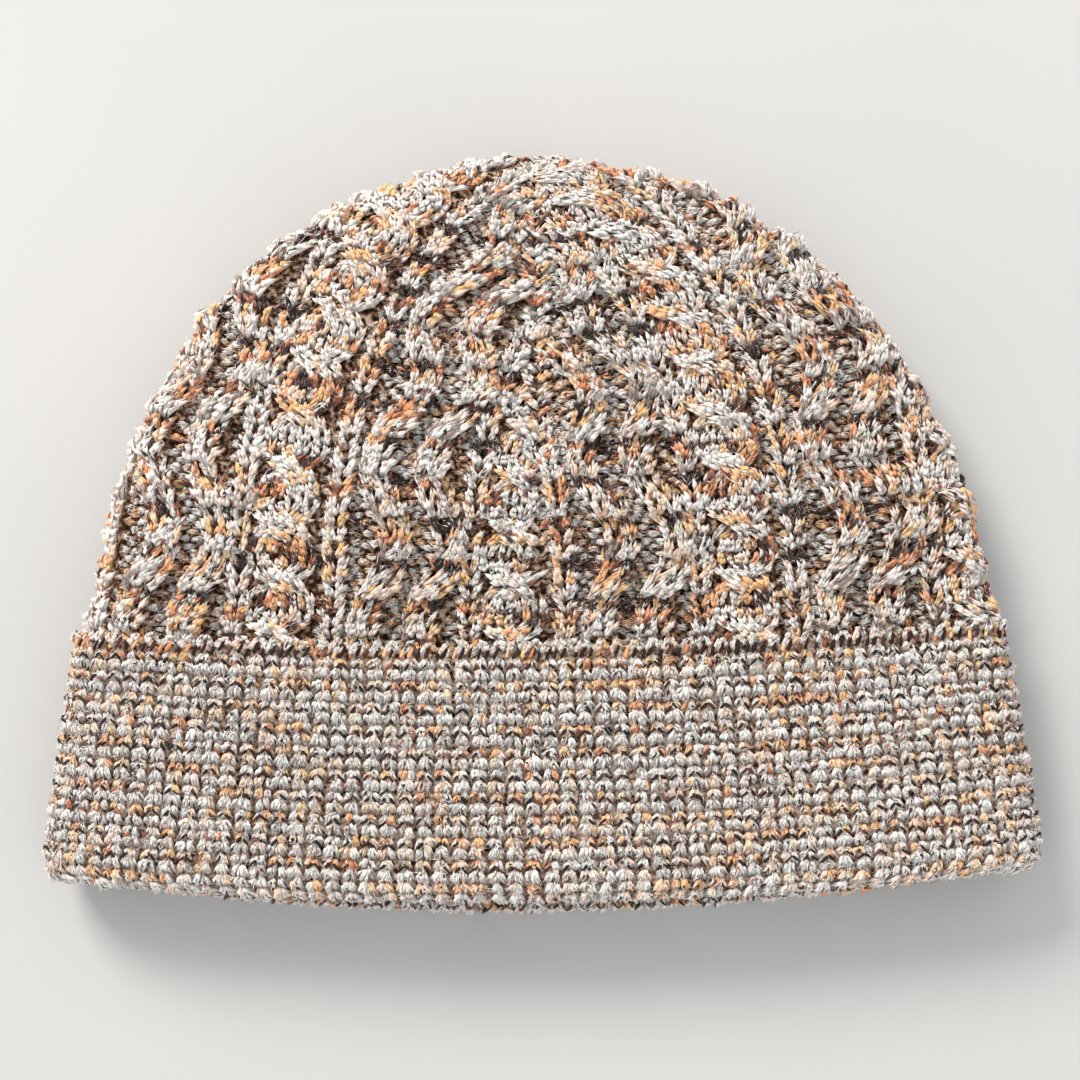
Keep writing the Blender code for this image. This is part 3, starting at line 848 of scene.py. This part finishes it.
def lobe_corners(knit, lobes, level, turn):
    """Corners of all the lobes, with the place of each along the yarn, its course and its turn round it."""
    share = 0.5 - 0.5 * np.cos(level * math.pi)
    step = 0.02

    def on_line(at):
        """Points on the lobes' middle lines, and the tube's outward directions there."""
        where = on_path(lobes.path, at[None])
        place, normal = on_tube(knit, where[..., 0], where[..., 1])
        return place + normal * where[..., 2, None], normal

    centre, normal = on_line(share)
    tangent = on_line(np.clip(share + step, 0.0, 1.0))[0] - on_line(np.clip(share - step, 0.0, 1.0))[0]
    side = unit(np.cross(tangent, normal))
    full = np.sin(math.pi * share ** BLUNTNESS) ** ROUND_ENDS
    angle = turn * 2.0 * math.pi
    across = lobes.half_width[:, None] * (full * np.sin(angle))[None]
    out = lobes.half_depth[:, None] * (full * -np.cos(angle))[None]
    corners = centre + side * across[..., None] + normal * out[..., None]
    corners[..., 2] = np.maximum(corners[..., 2], WOOL_FLOOR)
    yarn = np.stack((lobes.yarn[:, 0, None] * STITCH_YARN + LOBE_YARN * share[None],
                     np.broadcast_to(lobes.yarn[:, 1, None], across.shape),
                     np.broadcast_to(turn[None], across.shape)), axis=-1)
    return corners, yarn


def lobe_mesh(name, knit, lobes, sides, levels):
    """One mesh of many lobes, joined from arrays."""
    level, turn, faces = lobe_shape(sides, levels)
    corners, yarn = lobe_corners(knit, lobes, level, turn)
    count, each = corners.shape[:2]
    sizes = np.array([len(face) for face in faces])
    flat = np.concatenate([np.array(face) for face in faces])
    loops = (flat[None] + np.arange(count)[:, None] * each).ravel()
    starts = running(np.tile(sizes, count))[:-1]
    mesh = bpy.data.meshes.new(name)
    mesh.vertices.add(count * each)
    mesh.vertices.foreach_set("co", corners.astype(np.float32).ravel())
    mesh.loops.add(len(loops))
    mesh.loops.foreach_set("vertex_index", loops.astype(np.int32))
    mesh.polygons.add(len(starts))
    mesh.polygons.foreach_set("loop_start", starts.astype(np.int32))
    mesh.update(calc_edges=True)
    along = mesh.attributes.new("yarn", "FLOAT_VECTOR", "POINT")
    along.data.foreach_set("vector", yarn.astype(np.float32).ravel())
    mesh.attributes.new("tone", "FLOAT", "POINT").data.foreach_set("value", np.repeat(lobes.tone, each))
    mesh.shade_smooth()
    return mesh


def shell_mesh(name, rings):
    """A closed knitted shell: a grid wrapped round, its rows placed on rings of points."""
    rings = np.array(rings)
    rows, columns = len(rings) - 1, rings.shape[1]
    shell = bmesh.new()
    bmesh.ops.create_grid(shell, x_segments=columns, y_segments=rows, size=1.0)
    for corner in shell.verts:
        across = round((corner.co.x + 1.0) / 2.0 * columns) % columns
        up = round((corner.co.y + 1.0) / 2.0 * rows)
        corner.co = rings[up, across]
    bmesh.ops.remove_doubles(shell, verts=shell.verts, dist=MERGE_DISTANCE)
    bmesh.ops.dissolve_degenerate(shell, edges=shell.edges, dist=MERGE_DISTANCE)
    bmesh.ops.recalc_face_normals(shell, faces=shell.faces)
    mesh = bpy.data.meshes.new(name)
    shell.to_mesh(mesh)
    shell.free()
    mesh.shade_smooth()
    return mesh


# Materials


def linear(code):
    """An sRGB colour code as linear red, green, blue and alpha."""
    values = [int(code[i:i + 2], 16) / 255.0 for i in (1, 3, 5)]
    return tuple(v / 12.92 if v <= 0.04045 else ((v + 0.055) / 1.055) ** 2.4 for v in values) + (1.0,)


def node(tree, kind, sockets, stops=(), **settings):
    """Adds a node with its settings, its sockets as values or links, and the stops of its colour ramp."""
    made = tree.nodes.new(kind)
    for name, value in settings.items():
        setattr(made, name, value)
    for socket, value in sockets.items():
        if isinstance(value, bpy.types.NodeSocket):
            tree.links.new(value, made.inputs[socket])
        else:
            made.inputs[socket].default_value = value
    for number, (position, colour) in enumerate(stops):
        elements = made.color_ramp.elements
        element = elements[number] if number < len(elements) else elements.new(position)
        element.position = position
        element.color = linear(colour)
    return made


def new_material(name, **values):
    """A material whose surface has these values, with its node tree and shader."""
    material = bpy.data.materials.new(name)
    material.use_nodes = True
    shader = material.node_tree.nodes["Principled BSDF"]
    for socket, value in values.items():
        shader.inputs[socket.replace("_", " ")].default_value = value
    return material, material.node_tree, shader


# The yarn's plies by tone, from dark brown over rust and ochre to cream, and a share of greyed ones
PALETTE = (
    (0.00, "#24140f"), (0.07, "#4d2a20"), (0.11, "#8a5540"), (0.15, "#cd855a"), (0.20, "#e6a275"),
    (0.27, "#ebb388"), (0.33, "#e5b978"), (0.41, "#e9c8ae"), (0.51, "#e3d2c6"), (0.62, "#e1d9d3"),
    (0.87, "#e2ddd9"), (0.94, "#c8bcb3"), (1.00, "#978a80"),
)
# Flecks of another fibre in the yarn: their length and width, and how far it is round the yarn
FLECK_LENGTH = 0.0024
FLECK_WIDTH = 0.00032
YARN_GIRTH = 0.0050
# Sets the flecks of one course apart from those of the next
COURSE_STEP = 3.7
FLECKS = (
    (((0.31, "#ffffff"), (0.37, "#000000")), "#6b4d3c"),
    (((0.62, "#000000"), (0.70, "#ffffff")), "#e9e6e2"),
)
# Tufts of one colour in the wool that lies deep between the stitches, and their colours, darkened as painted
# shade of the gaps there
TUFT_SIZE = 0.0012
CROWN_WALL_SHADE_COLOURS = ((0.36, "#24170f"), (0.48, "#573e2e"), (0.57, "#9b7c65"), (0.66, "#d0b9a6"))
CUFF_WALL_SHADE_COLOURS = ((0.34, "#33241c"), (0.44, "#7f6553"), (0.54, "#bba594"), (0.64, "#e0d6cd"))
# Clouds in the paint of the floor
CLOUD_SIZE = 1.0 / 6.0
BOARD_CLOUDS = ((0.3, "#b4b5b3"), (0.7, "#b9b9b7"))


def dyed_yarn(tree):
    """The colour of the yarn by its tone."""
    tone = node(tree, "ShaderNodeAttribute", {}, attribute_name="tone").outputs["Fac"]
    return node(tree, "ShaderNodeValToRGB", {0: tone}, stops=PALETTE).outputs[0]


def patches(tree, size, stops):
    """Cloudy patches of about this size, in the colours of these stops."""
    where = node(tree, "ShaderNodeTexCoord", {}).outputs["Object"]
    cloud = node(tree, "ShaderNodeTexNoise", {"Vector": where, "Scale": 1.0 / size}).outputs[0]
    return node(tree, "ShaderNodeValToRGB", {0: cloud}, stops=stops).outputs[0]


def marled_wool(name):
    """Worsted marl, cream, ochre, rust and brown fibres spun together: soft, matt and streaked along."""
    material, tree, shader = new_material(name, Roughness=0.9, Specular_IOR_Level=0.15, Sheen_Weight=0.3,
                                          Sheen_Roughness=0.5, Subsurface_Weight=0.4, Subsurface_Scale=0.0008)
    # Single fibres of the other plies show as fine flecks along the yarn
    yarn = node(tree, "ShaderNodeAttribute", {}, attribute_name="yarn").outputs["Vector"]
    scale = (1.0 / FLECK_LENGTH, COURSE_STEP, YARN_GIRTH / FLECK_WIDTH)
    thread = node(tree, "ShaderNodeVectorMath", {0: yarn, 1: scale}, operation="MULTIPLY").outputs[0]
    fleck = node(tree, "ShaderNodeTexNoise",
                 {"Vector": thread, "Scale": 1.0, "Detail": 2.0, "Roughness": 0.7}).outputs[0]
    colour = dyed_yarn(tree)
    for stops, fibre in FLECKS:
        share = node(tree, "ShaderNodeValToRGB", {0: fleck}, stops=stops).outputs[0]
        # The sixth and seventh sockets are the two colours, the second output their mix
        sockets = {0: share, 6: colour, 7: linear(fibre)}
        colour = node(tree, "ShaderNodeMix", sockets, data_type="RGBA").outputs[2]
    bump = node(tree, "ShaderNodeBump", {"Strength": 0.6, "Distance": 0.0003, "Height": fleck})
    tree.links.new(colour, shader.inputs["Base Color"])
    tree.links.new(bump.outputs[0], shader.inputs["Normal"])
    return material


def loose_fibres(name):
    """Single loose fibres of the same wool, each of one colour, with the slight gloss of a bare fibre."""
    material, tree, shader = new_material(name, Roughness=0.75, Specular_IOR_Level=0.3)
    tree.links.new(dyed_yarn(tree), shader.inputs["Base Color"])
    return material


def wall_wool_in_painted_shade(name, stops):
    """Wool matted together between the stitches, rough and dull, its colours darkened as painted shade where
    little light reaches it.
    """
    material, tree, shader = new_material(name, Roughness=0.95, Specular_IOR_Level=0.1)
    tree.links.new(patches(tree, TUFT_SIZE, stops), shader.inputs["Base Color"])
    return material


def floor_paint(name):
    """Smooth pale board, painted matt: even, with the faintest clouds and no gloss."""
    material, tree, shader = new_material(name, Roughness=0.85)
    tree.links.new(patches(tree, CLOUD_SIZE, BOARD_CLOUDS), shader.inputs["Base Color"])
    return material


# Pieces


def add_object(name, data):
    """Puts an object into the scene."""
    made = bpy.data.objects.new(name, data)
    bpy.context.scene.collection.objects.link(made)
    return made


def add_piece(mesh, material, node_name=None):
    """Puts a piece into the scene, riding on the cap, and in the place of a CAD node where one is named."""
    mesh.materials.append(material)
    piece = add_object(mesh.name, mesh)
    if node_name:
        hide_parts(node_name)
    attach(piece, "root")


def ring_points(course, columns):
    """A course as a ring of so many corners."""
    points = loop(course)
    places = np.arange(columns) * len(points) / columns
    return points_at(places, np.arange(len(points) + 1), np.concatenate((points, points[:1])))


def under_face(knit, columns, row, depth):
    """A ring of corners so deep under a tube's face, in a round."""
    place, normal = on_tube(knit, np.arange(columns) * QUARTERS / columns, np.full(columns, row))
    corners = place - normal * depth
    corners[:, 2] = np.maximum(corners[:, 2], SHELL_FLOOR)
    return corners


def crown_shell(knit):
    """The crown's wall under its stitches, from its top down inside, round its lower edge and up outside."""
    inner = [crown_course(1.0 - left / CROWN_ROUNDS, CROWN_WALL) for left in INNER_ROUNDS]
    tucked = -TUCK / (CAP_HEIGHT - CUFF_TOP_Y)
    inner += [crown_course(tucked, CROWN_WALL), crown_course(tucked, CROWN_UNDER)]
    rings = [ring_points(course, CROWN_COLUMNS) for course in inner]
    around = np.arange(CROWN_COLUMNS) * QUARTERS / CROWN_COLUMNS
    number = np.floor(around)
    for row in np.append(np.arange(float(CROWN_ROUNDS)), LAST_SHELL_ROUND):
        narrowing = narrow(row)
        within = (around - number - 0.5) / narrowing + 0.5
        stitch = unspread(number * QUARTER_STITCHES + within * QUARTER_STITCHES)
        kept, drawn_in = dart_fade(from_dart(around, number, narrowing), row)
        height = motif_height(stitch, row) * kept * SHELL_RELIEF - drawn_in - CROWN_UNDER
        rings.append(under_face(knit, CROWN_COLUMNS, row, -height[:, None]))
    rings.append(ring_points(crown_course(1.0, CROWN_UNDER), CROWN_COLUMNS))
    return shell_mesh("crown_shell", rings)


def cuff_shell(knit, last):
    """The cuff's wall under its stitches: down inside, round the fold, up outside, and back between."""
    seat = CUFF_HEIGHT - TUCK - JOIN_GAP
    inner_top = ring_points(cuff_course(seat, CUFF_WALL - CUFF_UNDER), CUFF_COLUMNS)
    rings = [inner_top]
    inside, fold, outside = np.arange(-7.0, -1.0), np.arange(-1.0, 3.0, 0.5), np.arange(3.0, last)
    rows = np.concatenate((inside, fold, outside, (last,)))
    rings += [under_face(knit, CUFF_COLUMNS, row, CUFF_UNDER) for row in rows]
    between = ((CUFF_HEIGHT, -LAYER_GAP), (FOLD_RADIUS, -LAYER_GAP), (FOLD_RADIUS, 0.0), (seat, 0.0))
    rings += [ring_points(cuff_course(height, inset), CUFF_COLUMNS) for height, inset in between]
    return shell_mesh("cuff_shell", rings + [inner_top])


def on_front(lobes):
    """Which lobes are on the front."""
    around = np.mod(lobes.path[:, 1, 0], QUARTERS)
    return (around < FRONT_REACH) | (around > QUARTERS - FRONT_REACH)


def stretched(knit, lobes):
    """The same lobes, larger where the rounds stand wider apart, as they do round the crown's back edge."""
    pitch = unit_lengths(knit, lobes.path[:, 1])[:, 1]
    return scaled(lobes, np.clip(pitch / WIDE_ROUND, 1.0, MOST_STRETCH))


def build_crown(knit, wool, hair):
    """The stitches of the crown, front and back, with the strands and hairs of those that show."""
    ribs, ground = crown_lobes()
    seen = []
    worked = (("crown_ribs", ribs, 2), ("crown_ground", ground, 1), ("crown_darts", dart_lobes(), 2))
    for name, lobes, tiers in worked:
        lobes = stretched(knit, unevened(lobes, len(lobes.path)))
        front = on_front(lobes) | (lobes.path[:, 1, 1] > LAST_PLAIN_ROUND)
        faced, hidden = part_of(lobes, front), part_of(lobes, ~front)
        seen.append(faced)
        strands = combed(knit, faced, tiers, abreast=3, seed=len(seen))
        for part, group, mesh in (("_front", faced, FULL_MESH), ("_back", hidden, PLAIN_MESH),
                                  ("_strands", strands, FIBRE_MESH)):
            add_piece(lobe_mesh(name + part, knit, group, *mesh), wool)
    fuzz = loose_hairs(knit, joined(seen), CROWN_HAIRS, seed=5)
    add_piece(lobe_mesh("crown_fuzz", knit, fuzz, *FIBRE_MESH), hair)


def build_cuff(knit, last, wool, hair):
    """The stitches of the cuff, its bound-off edge, its dark plies with their painted shade, strands and
    hairs.
    """
    lobes = cuff_lobes(last)
    lobes = unevened(lobes, len(lobes.path))
    edge, edge_plies_and_shade = edge_lobes(last)
    edge = unevened(edge, seed=12)
    row = lobes.path[:, 1, 1]
    front, outside, dark_ply_shade_mask = on_front(lobes), row > OUTSIDE_ROUND, lobes.half_width < DARK_PLY_SHADE_WIDTH
    faced = part_of(lobes, front & outside & ~dark_ply_shade_mask)
    low_back = part_of(lobes, ~front & outside & ~dark_ply_shade_mask & (row < BACK_STRAND_ROUND))
    # Dark plies in the gaps between rounds: partly dark yarn, partly painted shade
    dark_plies_and_shade = part_of(lobes, front & (row > DARK_PLY_SHADE_ROUND) & dark_ply_shade_mask)
    shown_ply_shade = np.random.default_rng(15).random(len(dark_plies_and_shade.path)) < DARK_PLY_SHADE_SHARE
    dark_plies_and_shade = joined((part_of(dark_plies_and_shade, shown_ply_shade), unevened(edge_plies_and_shade, seed=14)))
    edge_front = part_of(edge, on_front(edge))
    pieces = (
        ("cuff_front", faced, FULL_MESH, wool),
        ("cuff_dark_ply_and_painted_shade", dark_plies_and_shade, PLAIN_MESH, hair),
        ("cuff_back", part_of(lobes, ~front & outside), PLAIN_MESH, wool),
        ("cuff_inside", part_of(lobes, ~outside), PLAIN_MESH, wool),
        ("cuff_edge", edge, FULL_MESH, wool),
        ("cuff_back_strands", combed(knit, low_back, tiers=2, abreast=2, seed=12), FIBRE_MESH, wool),
        ("cuff_strands", combed(knit, faced, tiers=1, abreast=5, seed=11), FIBRE_MESH, wool),
        ("cuff_edge_strands", combed(knit, edge_front, tiers=2, abreast=3, seed=13), FIBRE_MESH, wool),
        ("cuff_fuzz", loose_hairs(knit, faced, CUFF_HAIRS, seed=6), FIBRE_MESH, hair),
    )
    for name, group, mesh, finish in pieces:
        add_piece(lobe_mesh(name, knit, group, *mesh), finish)


# Scene


def add_floor():
    """A wide pale floor, which isn't part of the cap."""
    made = bmesh.new()
    bmesh.ops.create_grid(made, x_segments=1, y_segments=1, size=8.0)
    mesh = bpy.data.meshes.new("floor")
    made.to_mesh(mesh)
    made.free()
    mesh.materials.append(floor_paint("pale_board"))
    add_object("floor", mesh)


def add_light(name, place, size, power, colour):
    """A square lamp that faces the cap."""
    data = bpy.data.lights.new(name, "AREA")
    data.size = size
    data.energy = power
    data.color = linear(colour)[:3]
    lamp = add_object(name, data)
    lamp.location = place
    lamp.rotation_euler = (-lamp.location).to_track_quat("-Z", "Y").to_euler()


def add_camera():
    """Looks down on the cap as the photograph does: nearly from straight above, from the side of the cuff."""
    distance, tilt, roll = 0.55, math.radians(6.0), math.radians(-0.7)
    seen_width, target_x, target_y, target_z = 0.2768, 0.0003, -0.0040, 0.022
    data = bpy.data.cameras.new("photo_view")
    data.lens = data.sensor_width * distance / seen_width
    camera = add_object("photo_view", data)
    camera.location = (target_x, target_y - distance * math.sin(tilt), target_z + distance * math.cos(tilt))
    turn = Matrix.Rotation(tilt, 3, "X") @ Matrix.Rotation(roll, 3, "Z")
    camera.rotation_euler = turn.to_euler()
    bpy.context.scene.camera = camera


def add_world(colour, brightness):
    """Soft even light from all sides, shown without a film's look."""
    world = bpy.data.worlds.new("soft_room")
    world.use_nodes = True
    background = world.node_tree.nodes["Background"]
    background.inputs["Color"].default_value = linear(colour)
    background.inputs["Strength"].default_value = brightness
    bpy.context.scene.world = world
    bpy.context.scene.view_settings.view_transform = "Standard"


crown_knit = crown_tube()
cuff_knit, last_round = cuff_tube()
wool = marled_wool("worsted_marl")
hair = loose_fibres("loose_wool_fibres")
# The walls under the stitches take colours darkened as painted shade
crown_shade_painted_wall = wall_wool_in_painted_shade("wall_wool_painted_shade_crown", CROWN_WALL_SHADE_COLOURS)
cuff_shade_painted_wall = wall_wool_in_painted_shade("wall_wool_painted_shade_cuff", CUFF_WALL_SHADE_COLOURS)
add_piece(crown_shell(crown_knit), crown_shade_painted_wall, "crown")
add_piece(cuff_shell(cuff_knit, last_round), cuff_shade_painted_wall, "cuff")
build_crown(crown_knit, wool, hair)
build_cuff(cuff_knit, last_round, wool, hair)
add_floor()
add_light("daylight", (-1.31, 1.89, 1.75), size=1.05, power=94.0, colour="#fff7f1")
add_camera()
add_world("#ebecee", brightness=1.26)
